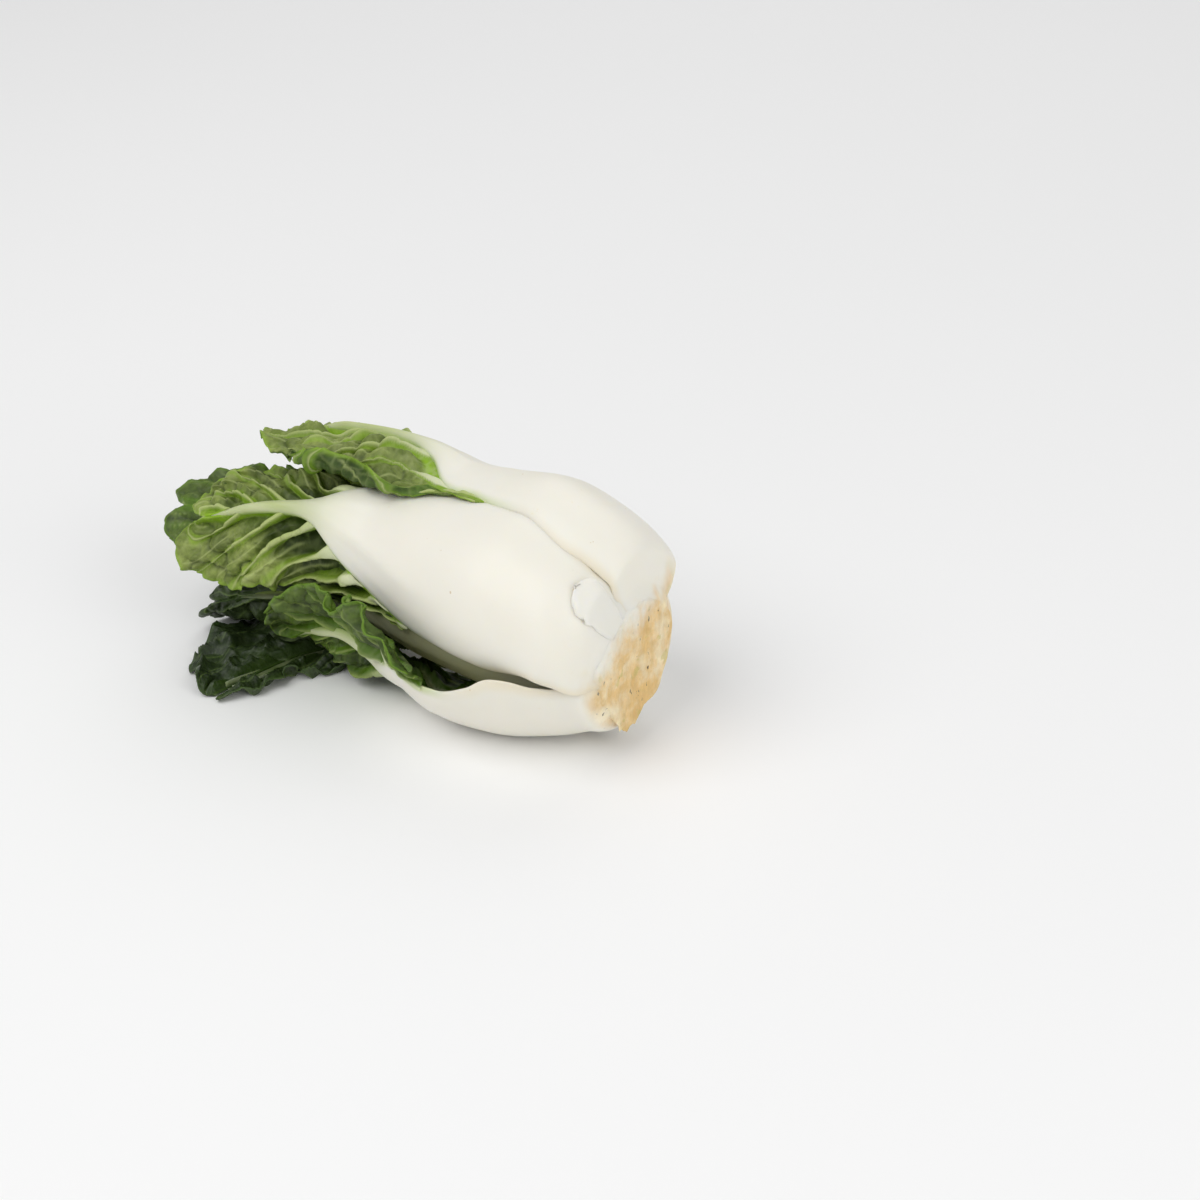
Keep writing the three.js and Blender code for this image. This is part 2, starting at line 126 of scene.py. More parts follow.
def cells(u, v):
    """How far a point is from the border of its irregular cell, in cell sizes."""
    u, v = np.broadcast_arrays(u, v)
    iu, iv = np.floor(u).astype(int), np.floor(v).astype(int)
    nearest = np.full(u.shape, 9.0)
    second = np.full(u.shape, 9.0)
    for du in (-1, 0, 1):
        for dv in (-1, 0, 1):
            jitter = JITTER[(iu + du) % JITTER_CELLS, (iv + dv) % JITTER_CELLS]
            distance = np.hypot(iu + du + jitter[..., 0] - u, iv + dv + jitter[..., 1] - v)
            second = np.minimum(second, np.maximum(nearest, distance))
            nearest = np.minimum(nearest, distance)
    return (second - nearest) / 2


# ---- The form that all leaves share ----

axis_height = through(AXIS_HEIGHTS)
STALK_HALF_WIDTH = through([
    (0, 34), (0.22, 36), (0.45, 49), (0.68, 51), (0.88, 42), (1, 31), (1.12, 18), (1.25, 8), (1.4, 4.5),
    (2, 1.6),
])
STALK_THICKNESS = through([(0, 4.5), (0.3, 6.8), (0.7, 6.2), (1, 4.2), (1.2, 3)])
RIDGE_HEIGHT = through([(0.95, 0), (1.2, 2.2), (1.5, 1.6), (2, 0.8)])
RIDGE_ROUNDNESS = 0.6
ROW_LENGTH = through([(0.7, 1), (0.85, 5), (1, 13), (1.2, 28), (1.5, 36), (1.75, 31), (1.9, 21), (1.97, 13), (2, 6)])
ROW_LEAN = through([(0.7, 66), (1, 54), (1.35, 38), (1.65, 44), (1.85, 54), (2, 74)])
BLADE_START = 0.74
TIP = 2
LIFT_START = 0.95
LIFT_END = 1.12
RIDGE_BASE = 1.05
TURN_START = 0.9
TURN_END = 1.2
HEADING_STEP = 0.04
FULL_ROW_LENGTH = 22
WAVE_STEEPNESS = 1.6
SECOND_RIPPLE = {"height": 0.5, "waves": 2.3, "phase": 2}
OTHER_HALF_PHASE = 0.7


def around(along, direction, radius, dip=0, lies=0):
    """Points in millimetres from the distance along the head, the direction in degrees and the radius."""
    turn = np.radians(direction)
    z = axis_height(along) + radius * np.sin(turn) - lies
    reach = np.hypot(z, TABLE_SOFTNESS)
    height = lies + (z + reach) / 2 - dip * (1 - z / reach) / 2
    x, y, height = np.broadcast_arrays(FOOT_X - along, AXIS_Y - radius * np.cos(turn), height)
    return np.stack([x, y, height], axis=-1)


def midrib_of(leaf):
    """A leaf's midrib by station: 0 at the foot, 1 at the neck where the stalk ends, 2 at the tip."""
    path = leaf["path"]
    travelled = [0]
    for (a, r, o), (along, radius, off) in zip(path, path[1:]):
        travelled.append(travelled[-1] + math.hypot(along - a, radius - r, math.radians(off - o) * r))
    to_neck, to_tip = travelled[leaf["neck"]], travelled[-1]
    stations = [d / to_neck if d < to_neck else 1 + (d - to_neck) / (to_tip - to_neck) for d in travelled]
    curves = [through([(s, point[k]) for s, point in zip(stations, path)]) for k in range(3)]

    def at(station):
        return curves[0](station), leaf["direction"] + curves[2](station), curves[1](station)
    return at


def heading_at(midrib_at, station):
    ahead = midrib_at(np.minimum(station + HEADING_STEP, TIP))
    behind = midrib_at(np.minimum(station, TIP - HEADING_STEP) - HEADING_STEP)
    sideways = np.radians(ahead[1] - behind[1]) * ahead[2]
    counts = np.clip((station - TURN_START) / (TURN_END - TURN_START), 0, 1)
    return counts * np.arctan2(sideways, ahead[0] - behind[0])


def offset(place, heading, forward, sideways):
    along, direction, radius = place
    arc = forward * np.sin(heading) + sideways * np.cos(heading)
    ahead = forward * np.cos(heading) - sideways * np.sin(heading)
    return along + ahead, direction + np.degrees(arc / radius), radius


def stalk_face(leaf, midrib_at, station, share):
    upper, lower = leaf["upper"], leaf["lower"]
    width = np.where(share > 0, upper["width"](station), lower["width"](station))
    drop = np.where(share > 0, upper["drop"](station), lower["drop"](station))
    midrib = midrib_at(station)
    half_width = np.radians(STALK_HALF_WIDTH(station)) * width * midrib[2]
    along, direction, radius = offset(midrib, heading_at(midrib_at, station), 0, share * half_width)
    return along, direction, radius - drop * share ** 2


def grid_normals(grid):
    normals = np.cross(np.gradient(grid, axis=1), np.gradient(grid, axis=0))
    return normals / np.maximum(np.linalg.norm(normals, axis=2, keepdims=True), 1e-9)


# ---- Meshes from grids ----

class Sheet:
    """Gathers closed sheets, each from a grid of outer points and one of inner points."""

    def __init__(self):
        self.points, self.faces, self.values = [], [], {}
        self.count = 0

    def add(self, outer, inner, **values):
        outer[..., 2] = np.maximum(outer[..., 2], 0)
        inner[..., 2] = np.maximum(inner[..., 2], MARGIN_THICKNESS)
        rows, columns = outer.shape[:2]
        size = rows * columns
        index = np.arange(size).reshape(rows, columns) + self.count
        a, b, c, d = index[:-1, :-1], index[:-1, 1:], index[1:, 1:], index[1:, :-1]
        front = np.stack([a, b, c, d], axis=-1).reshape(-1, 4)
        back = np.stack([d, c, b, a], axis=-1).reshape(-1, 4) + size
        edge = np.concatenate([index[0, :], index[1:, -1], index[-1, -2::-1], index[-2:0:-1, 0]])
        after = np.roll(edge, -1)
        rim = np.stack([edge, edge + size, after + size, after], axis=-1)
        self.faces.append(np.concatenate([front, back, rim]))
        self.points.append(np.concatenate([outer.reshape(-1, 3), inner.reshape(-1, 3)]))
        for name, value in values.items():
            both = value if isinstance(value, tuple) else (value, value)
            flat_values = [np.broadcast_to(v, (rows, columns)).reshape(-1) for v in both]
            self.values.setdefault(name, []).append(np.concatenate(flat_values))
        self.count += 2 * size

    def object(self, name, material):
        points, faces = np.concatenate(self.points), np.concatenate(self.faces)
        return mesh_object(name, points, faces, material, {
            key: np.concatenate(value) for key, value in self.values.items()
        })


def mesh_object(name, points, faces, material, values):
    mesh = bpy.data.meshes.new(name)
    mesh.from_pydata((points * MM).tolist(), [], faces.tolist())
    for key, value in values.items():
        attribute = mesh.attributes.new(key, "FLOAT", "POINT")
        attribute.data.foreach_set("value", np.asarray(value, np.float32))
    mesh.materials.append(material)
    mesh.shade_smooth()
    mesh.update()
    piece = bpy.data.objects.new(name, mesh)
    bpy.context.scene.collection.objects.link(piece)
    return piece


def tan_share(points):
    """How tan the tissue is near the cut: most on its far and lower side, patchy at its border."""
    x, y, z = points[..., 0], points[..., 1], points[..., 2]
    patchy = noise(x / 3, y / 5, z / 7) + 0.6 * noise(x / 1.5, y / 2, z / 3) + 0.3 * noise(x, y, z)
    share = 0.5 + 0.05 * (x - 44) + 0.02 * (y - 5) - 0.045 * (z - 43) + 0.16 * patchy
    return step(0.3, 0.95, share) * step(42, 44.8, x)


# ---- A leaf's stalk and blade ----

def stalk(leaf, midrib_at):
    """The white stalk, with rounded edges, and the midrib that runs on outside the blade."""
    rows, columns = leaf["stalk_grid"]
    last = lerp(BLADE_START, TIP, 1 - 1 / (3 * leaf["ribs"]))
    way = np.linspace(-leaf["foot"], 1, rows + round(rows * leaf["foot"]))
    station = (last * np.maximum(way, 0) ** 1.25)[:, None]
    share = np.sin(np.linspace(-math.pi / 2, math.pi / 2, columns))[None, :]
    along, direction, radius = stalk_face(leaf, midrib_at, station, share)
    toward_cut = np.maximum(0, -way / max(leaf["foot"], 1e-6))[:, None]
    along = along - FOOT_RISE * toward_cut ** 1.3
    radius = radius - FOOT_REACH * toward_cut + leaf["layer"] * step(0.2, 0, station)
    middle = midrib_at(station)[1]
    direction = middle + (direction - middle) * (1 + 0.2 * leaf["closes"] * step(0.16, 0, station))
    swell = leaf["folds"] * noise(4.5 * share + leaf["phase"], 1.2 * station, leaf["direction"] / 30)
    radius = radius + swell * step(0.25, 0.9, station) * step(1.2, 0.95, station) * (1 - share ** 4)
    face = around(along, direction, radius, FLAT_DEPTH)
    normals = grid_normals(face)
    fullness = 1 - share ** 2
    lifted = step(LIFT_START - 0.12, LIFT_END + 0.04, station)
    ridge = RIDGE_HEIGHT(station) * leaf["size"] * fullness ** RIDGE_ROUNDNESS
    edge = lerp(STALK_EDGE_THICKNESS, 0.9, lifted) / 2
    pinch = edge * (1 - np.sqrt(np.maximum(0, 1 - np.abs(share) ** 10)))
    start = way[:, None] + leaf["foot"]
    foot = 1.2 * np.maximum(0, 1 - start / 0.02) ** 2
    sunk = 2.2 * step(last - 0.26, last, station)
    outer = ridge + lifted * RIDGE_BASE * fullness ** 0.5 - pinch - foot - sunk
    depth = lerp(STALK_EDGE_THICKNESS, STALK_THICKNESS(station) * leaf["size"], fullness)
    inner = lerp(-depth, -0.35, lifted) + pinch + foot
    inner = np.minimum(inner, outer - 0.2)
    sheet = Sheet()
    margin = step(0.8, 1, np.abs(share))
    outside = face + normals * outer[..., None]
    # The inside value paints olive shade: always on the inner face, and on the outer face too for the inner leaves.
    sheet.add(outside, face + normals * inner[..., None],
              station=station, margin=margin, shade=leaf["rib_shade"], tan=tan_share(outside),
              inside=(leaf["olive_shaded"] + 0 * outer, 1 + 0 * outer))
    return sheet


def panel_relief(leaf, half, station, q, spacing, place, root_distance, t):
    """Height and colour values of the ribs, the pockets at their roots, the pillows and fine veins, and painted
    shade in the pockets.
    """
    nearest = np.round(q)
    strengths = half["ribs"]
    strength = np.array(strengths)[np.clip(nearest, 0, len(strengths) - 1).astype(int)]
    strength = strength * step(1, 0.82, t)
    web = half["web"](station)
    rib_distance = np.abs(q - nearest) * spacing
    rib_half = leaf["size"] * (0.15 + 1.0 * strength * (1 - t) ** 1.6)
    rib_half = rib_half + 0.12 * spacing * np.exp(-(root_distance / 3) ** 2) * web
    rib_edge = rib_distance - rib_half
    minor_distance = np.abs(q - np.floor(q) - 0.5) * spacing
    minor = 0.5 * step(0.28, 0.5, t) * step(1, 0.85, t) * step(2.5, 5, spacing) * leaf["size"]
    minor_edge = minor_distance - 0.35 * minor
    edge = np.minimum(rib_edge, root_distance - 0.4)
    dome = np.sqrt(np.maximum(0, 1 - (rib_distance / (1.35 * rib_half)) ** 2))
    minor_dome = np.exp(-(minor_distance / 0.7) ** 2) * minor
    relief = leaf["rib"] * (0.35 + 1.1 * (1 - t)) * dome * np.minimum(1, 0.35 + strength)
    relief = relief + 0.25 * minor_dome
    slit = half["slit"] * step(0.75, 0.84, station) * step(1.6, 1.15, station)
    depth = np.exp(-2.0 * t) + slit * np.exp(-(root_distance / 10) ** 2)
    gap = np.maximum(0.5 * spacing - rib_half, 0.3)
    pocket = leaf["pocket"] * half["depth"](station) * depth * step(0, np.minimum(1.5, 0.8 * gap), edge)
    pillow = leaf["pillow"] * step(0.6, 4.5, edge)
    border = cells(*place)
    fine = step(0.16, 0.02, border)
    dimples = leaf["dimple"] * step(0, 0.3, border) * step(0, 2, edge)
    vein = np.maximum(step(0.5, -0.3, rib_edge), 0.6 * step(0.5, -0.1, minor_edge) * step(0.05, 0.3, minor))
    vein = np.maximum(vein, 0.16 * fine)
    rim = np.minimum(0.75, 0.35 * gap)
    crease = np.exp(-((edge - rim) / rim) ** 2) * (0.25 + 0.75 * np.exp(-2 * t))
    # Painted shade: darkest in the pockets at the ribs' roots.
    hollow_shade = step(0.25, 1, edge / np.minimum(gap, 2)) * np.clip((depth - 0.45) / 0.55, 0, 1)
    return relief - pocket + pillow + dimples, vein, crease, hollow_shade


def blade_half(leaf, midrib_at, side):
    """One half of a blade: rows that start under the stalk's edge and lean forward to the margin."""
    half = leaf["upper"] if side > 0 else leaf["lower"]
    rows, columns = leaf["blade_grid"]
    station = np.linspace(BLADE_START, TIP, rows)[:, None]
    t = np.linspace(0, 1, columns)[None, :]
    seed = 10 * leaf["phase"] + side
    root = stalk_face(leaf, midrib_at, station, side + 0 * station)
    heading = heading_at(midrib_at, station)
    lean = np.radians(ROW_LEAN(station) * half["lean"](station))
    length = ROW_LENGTH(station) * leaf["size"] * half["breadth"](station)
    length = length * (1 + 0.045 * noise(station * 9, seed, 0.5) + 0.015 * noise(station * 23, seed, 3.5))
    grown = np.minimum(1, length / FULL_ROW_LENGTH)
    phase = leaf["phase"] + (0 if side > 0 else OTHER_HALF_PHASE)
    second = SECOND_RIPPLE["waves"] * leaf["waves"] * station + SECOND_RIPPLE["phase"] * leaf["phase"]
    ripple = np.sin(math.pi * (leaf["waves"] * station + phase))
    ripple = ripple + SECOND_RIPPLE["height"] * np.sin(math.pi * second)
    rib_count = half["rib_share"](station) * leaf["ribs"]
    q = rib_count - half["sweep"] * leaf["ribs"] * t + 0.34 * noise(station * 5, t * 2.5, seed) * step(0, 0.4, t)
    panel = np.sin(math.pi * q) ** 2

    flap = half["flap"](station) * (1 + 0.35 * noise(station * 7, seed, 2.5))
    distance = t * length * (1 + flap)
    turned = np.minimum(np.maximum(0, distance - length) / FOLD_RADIUS, FOLD_ANGLE)
    beyond = np.maximum(0, distance - length - FOLD_ANGLE * FOLD_RADIUS)
    reach = np.minimum(distance, length) + FOLD_RADIUS * np.sin(turned) + beyond * math.cos(FOLD_ANGLE)
    lift = FOLD_RADIUS * (1 - np.cos(turned)) + beyond * math.sin(FOLD_ANGLE)
    lift = lift * half["flap_side"]

    sideways = side * (reach * np.cos(lean) - ROOT_OVERLAP * (1 - t))
    along, direction, radius = offset(root, heading, reach * np.sin(lean), sideways)
    frill = leaf["frill"] * t ** 4 * np.sin(2 * math.pi * (station * leaf["frills"] + 0.4 * noise(station * 6, seed, 1.5)))
    swell = half["rise"](station) * t * (2 - t) - leaf["pucker"] * panel * np.sin(math.pi * t)
    radius = radius + grown * (swell + leaf["wave"] * ripple * t ** WAVE_STEEPNESS + frill) + lift
    lies = leaf["lies"](station)
    grid = around(along, direction, radius, 0, lies)
    if side < 0:
        normals = -grid_normals(grid)
    else:
        normals = grid_normals(grid)

    per_rib = np.gradient(grid, axis=0) / np.gradient(rib_count, axis=0)[..., None]
    row_way = np.gradient(grid, axis=1)
    row_way = row_way / np.maximum(np.linalg.norm(row_way, axis=2, keepdims=True), 1e-9)
    across = per_rib - (per_rib * row_way).sum(axis=2, keepdims=True) * row_way
    spacing = np.linalg.norm(across, axis=2)
    root_distance = t * length * np.cos(lean)
    place = along / leaf["cell"] + seed, np.radians(direction) * radius / leaf["cell"] + seed
    relief, vein, crease, hollow_shade = panel_relief(leaf, half, station, q, spacing, place, root_distance, t)
    crumple = noise(*np.moveaxis(grid / 10 + seed, -1, 0))
    puffs = np.abs(noise(*np.moveaxis(grid / 6.5 + 2 * seed, -1, 0))) ** 0.7 - 0.4
    small_puffs = np.abs(noise(*np.moveaxis(grid / 3.2 + 3 * seed, -1, 0))) ** 0.7 - 0.4
    relief = relief + step(0, 0.3, t) * (leaf["crumple"] * crumple + leaf["puff"] * (puffs + leaf["small_puff"] * small_puffs))
    # Painted shade in the hollows between puffs and in the crumpled valleys.
    puff_hollow_shade = np.clip(-3 * puffs, 0, 1) ** 1.5 * step(0, 0.3, t)
    crumple_valley_shade = np.clip(-1.5 * crumple - 0.15, 0, 1) * step(0.05, 0.35, t)
    hollow_shade = np.maximum(hollow_shade, np.maximum(0.75 * puff_hollow_shade, 0.7 * crumple_valley_shade))
    relief = relief * step(0, 0.04, TIP - station) * np.minimum(1, 0.25 + grown) * np.minimum(1, spacing / 2.5)
    outer = grid + normals * relief[..., None]
    thickness = lerp(BLADE_THICKNESS, MARGIN_THICKNESS, t ** 2)
    inner = outer - normals * (thickness + 0 * relief)[..., None]
    root = np.exp(-np.maximum(0, root_distance) / 1.1)
    values = {
        "vein": vein, "crease": crease, "hollow_shade": hollow_shade, "root": root, "station": station, "margin": step(0.93, 1, t),
        "outside": (np.ones_like(relief), np.zeros_like(relief)), "reach": t,
    }
    if side < 0:
        flipped = {
            key: tuple(v[:, ::-1] for v in value) if isinstance(value, tuple) else np.broadcast_to(value, relief.shape)[:, ::-1]
            for key, value in values.items()
        }
        return outer[:, ::-1], inner[:, ::-1], flipped
    return outer, inner, values


def blade(leaf, midrib_at):
    sheet = Sheet()
    for side in (-1, 1):
        outer, inner, values = blade_half(leaf, midrib_at, side)
        sheet.add(outer, inner, **values)
    return sheet


def tucked(depth):
    """How far a stalk's margins are tucked in under its neighbours, or stand out if negative."""
    return through([(0, 0), (0.2, 0.4 * depth), (0.5, depth), (0.9, 0.8 * depth), (1.15, 0.2 * depth), (1.3, 0)])


# Inner leaves get olive painted shade on both faces of their stalks, and shade picks a blade green that is partly
# the leaf's own tone and partly painted shade, as rib_shade does for the midrib.
LEAF = {
    "neck": 6, "size": 1, "lies": flat(0), "wave": 1.2, "waves": 4, "phase": 0, "pucker": 0.8,
    "rib": 0.8, "ribs": 7, "folds": 0.5, "frill": 0.9, "frills": 8, "pocket": 3.2, "pillow": 1.9,
    "rib_shade": 0, "olive_shaded": 0,
    "foot": 0.12, "closes": 1, "layer": 0, "cell": 4.2, "dimple": 0.35, "crumple": 3, "puff": 3.2, "small_puff": 0.4, "stalk_grid": (150, 56), "blade_grid": (190, 64), "shade": "light",
}
HALF = {
    "width": flat(1), "breadth": flat(1), "lean": flat(1), "rise": flat(0), "drop": tucked(1),
    "web": through([(0.8, 1), (1.1, 1), (1.3, 0)]), "flap": flat(0), "flap_side": 1, "seed": 0, "sweep": 0.2,
    "slit": 0.5, "depth": flat(1), "rib_share": through([(BLADE_START, 0), (TIP, 1)]),
    "ribs": [0.6, 0.25, 0.9, 0.2, 0.8, 0.25, 0.7, 0.2, 0.5],
}

LEAVES = [
    {
        "name": "front", "direction": 36, "phase": 0.2, "frill": 0.6, "frills": 6, "layer": 0.5, "ribs": 7,
        "blade_grid": (230, 70),
        "path": [
            (-5, 21.8, 0), (-3.6, 26, 0), (-0.5, 30.5, 0), (8, 35, 0), (30, 37, 0),
            (55, 34, 2), (80, 30.5, 7), (98, 30.5, 6), (118, 32, 1), (138, 32, -3),
        ],
        "upper": {
            "width": through([(0, 1.12), (0.3, 1.12), (0.5, 1)]),
            "breadth": through([(0.8, 0.5), (1.5, 0.7)]),
            "rise": through([(0.8, -2.6), (1.1, -4), (1.5, -5)]),
            "slit": 1.2,
            "drop": through([(0, 0.6), (0.15, 3), (0.5, 5), (0.9, 4), (1.15, 1), (1.3, 0)]),
        },
        "lower": {
            "breadth": through([(0.8, 1.6), (1.05, 1.3), (1.3, 0.9), (2, 0.75)]),
            "rise": through([(0.8, -1), (1.3, -2), (2, 0)]),
            "drop": tucked(6),
            "ribs": [0.6, 0.9, 1, 1, 1, 0.8, 0.5, 0.3], "sweep": 0.16, "slit": 2.4,
            "rib_share": through([(BLADE_START, 0), (0.86, 0.16), (0.98, 0.32), (1.1, 0.45), (1.4, 0.68), (2, 1)]),
        },
    },
    {
        "name": "top", "direction": 108, "phase": 0.9, "ribs": 6, "frill": 0.5, "frills": 5,
        "blade_grid": (230, 70),
        "path": [
            (-5.2, 22.5, 0), (-4.8, 27, 0), (-3.8, 32, 0), (8, 37.5, 0), (28, 39.5, 0),
            (46, 36.5, 0), (64, 34, 0), (84, 34, 0), (108, 34, 0), (130, 33, 0),
        ],
        "upper": {"width": through([(0, 1), (0.5, 0.9), (0.95, 0.8), (1.1, 0.5)]), "breadth": flat(0.85)},
        "lower": {
            "width": through([
                (0, 0.9), (0.15, 1), (0.3, 0.9), (0.45, 0.68), (0.6, 0.56), (0.8, 0.58), (0.95, 0.72), (1.1, 0.5),
            ]),
            "breadth": through([(0.8, 2), (1, 1.5), (1.3, 0.95), (1.6, 0.8), (2, 0.7)]),
            "rise": through([(0.8, 2), (1.2, 2.5), (1.6, 0)]),
            "slit": 0, "depth": through([(0.95, 0.15), (1.3, 1)]),
            "drop": through([(0, 1), (0.12, 4.6), (0.5, 6), (0.9, 3.4), (1.15, 0.9), (1.3, 0)]),
            "flap": through([(0.78, 0), (0.86, 0.3), (1.1, 0.26), (1.4, 0.2), (1.65, 0)]),
        },
    },
    {
        "name": "low_front", "direction": -48, "phase": 1.6, "ribs": 6, "size": 0.9, "shade": "middle",
        "path": [
            (-4.6, 21.8, 0), (-3, 24, 0), (2, 26.4, 0), (12, 33, 0), (30, 41, 0),
            (44, 42.5, 0), (60, 38, 2), (74, 32, 7), (86, 30, 9), (97, 31.5, 5), (108, 36, -2),
        ],
        "lies": through([(0.9, 0), (1.2, 3.4), (1.55, 8)]),
        "upper": {
            "width": through([
                (0, 1.1), (0.12, 1.24), (0.24, 1.2), (0.38, 0.98), (0.5, 0.75), (0.7, 0.56), (1, 0.8),
            ]),
            "breadth": through([(0.76, 4), (0.85, 3.3), (0.95, 2.3), (1.05, 1.5), (1.3, 0.68), (2, 0.6)]),
            "lean": through([(0.8, 0.3), (1.2, 0.65)]),
            "rise": flat(1),
            "drop": through([(0, 0), (0.2, -1.6), (0.4, -2.2), (0.7, 0)]),
        },
        "lower": {
            "width": through([(0, 1), (0.7, 0.85), (1, 0.8)]),
            "breadth": through([(0.76, 4), (0.85, 3.4), (1, 2.2), (1.1, 1.4), (1.35, 0.7), (1.6, 0.3)]),
            "lean": flat(1.2),
            "rise": through([(0.8, 0), (1, 4), (1.3, 13), (1.6, 9), (2, 2)]),
            "drop": tucked(-2),
        },
    },
    {
        "name": "back", "direction": 180, "phase": 2.3, "shade": "dark", "rib_shade": 0.6,
        "puff": 4, "small_puff": 0.15, "blade_grid": (160, 56),
        "path": [
            (-4.6, 21.8, 0), (-2.5, 24.5, 0), (1, 27, 0), (12, 31, 0), (30, 35, 0),
            (56, 32.5, 0), (80, 28, 0), (100, 28, 4), (124, 31, 18), (146, 35, 36),
        ],
        "upper": {"breadth": flat(0.75), "rise": flat(-2), "drop": tucked(6)},
        "lower": {
            "width": through([(0, 0.9), (0.3, 0.96), (0.45, 1)]),
            "breadth": flat(0.75), "rise": flat(-2), "drop": tucked(6.8),
        },
    },
    {
        "name": "low_back", "direction": 243, "phase": 3.1, "shade": "dark", "rib_shade": 1,
        "pillow": -1.2, "dimple": -0.5, "puff": 5, "small_puff": 0.12,
        "path": [
            (-2.8, 22.2, 0), (-2.2, 24, 0), (2, 26.6, 0), (12, 30.8, 0), (30, 37, 0),
            (56, 36, 0), (78, 31, 4), (96, 36, 32), (108, 46, 58), (113, 64, 82),
        ],
        "upper": {
            "width": flat(0.82),
            "breadth": through([(0.78, 5), (0.85, 3.2), (0.92, 2), (1, 1), (1.12, 0.55), (1.25, 0.4)]),
            "lean": through([(0.9, 0.6), (1.3, 1)]),
            "rise": through([(0.8, -1), (1, 0), (1.15, 8), (1.5, 6)]),
            "drop": tucked(7),
        },
        "lower": {
            "width": through([(0, 0.75), (0.3, 0.78), (0.5, 0.8)]),
            "breadth": through([(1.5, 0.9), (1.8, 0.78)]),
            "rise": flat(1),
            "drop": tucked(-2),
        },
    },
]

INNER_LEAVES = 4
for i in range(INNER_LEAVES):
    neck_radius = 22 - 2 * i
    LEAVES.append({
        "name": f"inner_{i + 1}", "direction": 44 - 90 * i, "phase": i, "size": 0.66, "ribs": 4,
        "path": [
            (3, 9.5, 0), (4.5, 13, 0), (8, 17.5, 0), (18, 23, 0), (36, 26, 0), (60, 25 - 1.5 * i, 0),
            (84, neck_radius, 0), (96, neck_radius, 0), (118, neck_radius + 1, 0),
            (154 - 10 * i, neck_radius + 3 - i, 0),
        ],
        "upper": {"width": flat(0.84), "breadth": flat(0.9)},
        "lower": {"width": flat(0.84), "breadth": flat(0.9)},
        "foot": 0, "closes": 0, "olive_shaded": 1, "rib_shade": 0.5, "wave": 0.5, "pucker": 0.7, "rib": 0.4, "pocket": 0.8, "pillow": 0.5, "frill": 0.6,
        "stalk_grid": (70, 28), "blade_grid": (90, 36), "shade": "middle",
    })
LEAVES[-3].update({
    "path": [
        (3, 9.5, 0), (4.5, 13, 0), (8, 17.5, 0), (18, 24, 0), (36, 28.3, 0), (60, 27.6, 2),
        (80, 24.2, 6), (94, 22.5, 12), (112, 24.5, 17), (134, 30, 20),
    ],
    "size": 0.8, "shade": "dark", "rib_shade": 1, "ribs": 5, "stalk_grid": (90, 40), "blade_grid": (150, 56),
    "upper": {"width": flat(0.7), "breadth": flat(0.45)},
    "lower": {"width": flat(0.95), "breadth": flat(1.1), "rise": through([(1, 0), (1.4, 4), (2, 3)])},
})


# ---- Materials ----

def new_material(name):
    material = bpy.data.materials.new(name)
    material.use_nodes = True
    tree = material.node_tree
    return material, tree, tree.nodes["Principled BSDF"]


def attribute(tree, name):
    node = tree.nodes.new("ShaderNodeAttribute")
    node.attribute_name = name
    return node.outputs["Fac"]


def mixed(tree, amount, first, second, blend="MIX"):
    node = tree.nodes.new("ShaderNodeMix")
    node.data_type = "RGBA"
    node.blend_type = blend
    for socket, value in ((node.inputs[0], amount), (node.inputs[6], first), (node.inputs[7], second)):
        if isinstance(value, bpy.types.NodeSocket):
            tree.links.new(value, socket)
        elif isinstance(value, (int, float)):
            socket.default_value = value
        else:
            socket.default_value = (*value, 1)
    return node.outputs[2]


def math_node(tree, operation, *values):
    node = tree.nodes.new("ShaderNodeMath")
    node.operation = operation
    for socket, value in zip(node.inputs, values):
        if isinstance(value, bpy.types.NodeSocket):
            tree.links.new(value, socket)
        else:
            socket.default_value = value
    return node.outputs[0]


def ranged(tree, value, start, end, low=0, high=1):
    """A value mapped smoothly from start..end to low..high."""
    node = tree.nodes.new("ShaderNodeMapRange")
    node.interpolation_type = "SMOOTHSTEP"
    tree.links.new(value, node.inputs["Value"])
    for name, number in (("From Min", start), ("From Max", end), ("To Min", low), ("To Max", high)):
        node.inputs[name].default_value = number
    return node.outputs[0]


def object_place(tree, scale=(1, 1, 1)):
    place = tree.nodes.new("ShaderNodeTexCoord").outputs["Object"]
    mapping = tree.nodes.new("ShaderNodeMapping")
    mapping.inputs["Scale"].default_value = scale
    tree.links.new(place, mapping.inputs["Vector"])
    return mapping.outputs[0]


def noise_node(tree, place, scale, detail=4, roughness=0.55):
    node = tree.nodes.new("ShaderNodeTexNoise")
    node.inputs["Scale"].default_value = scale
    node.inputs["Detail"].default_value = detail
    node.inputs["Roughness"].default_value = roughness
    tree.links.new(place, node.inputs["Vector"])
    return node.outputs["Fac"]


def bumped(tree, shader, height, strength, distance):
    node = tree.nodes.new("ShaderNodeBump")
    node.inputs["Strength"].default_value = strength
    node.inputs["Distance"].default_value = distance
    tree.links.new(height, node.inputs["Height"])
    tree.links.new(node.outputs[0], shader.inputs["Normal"])


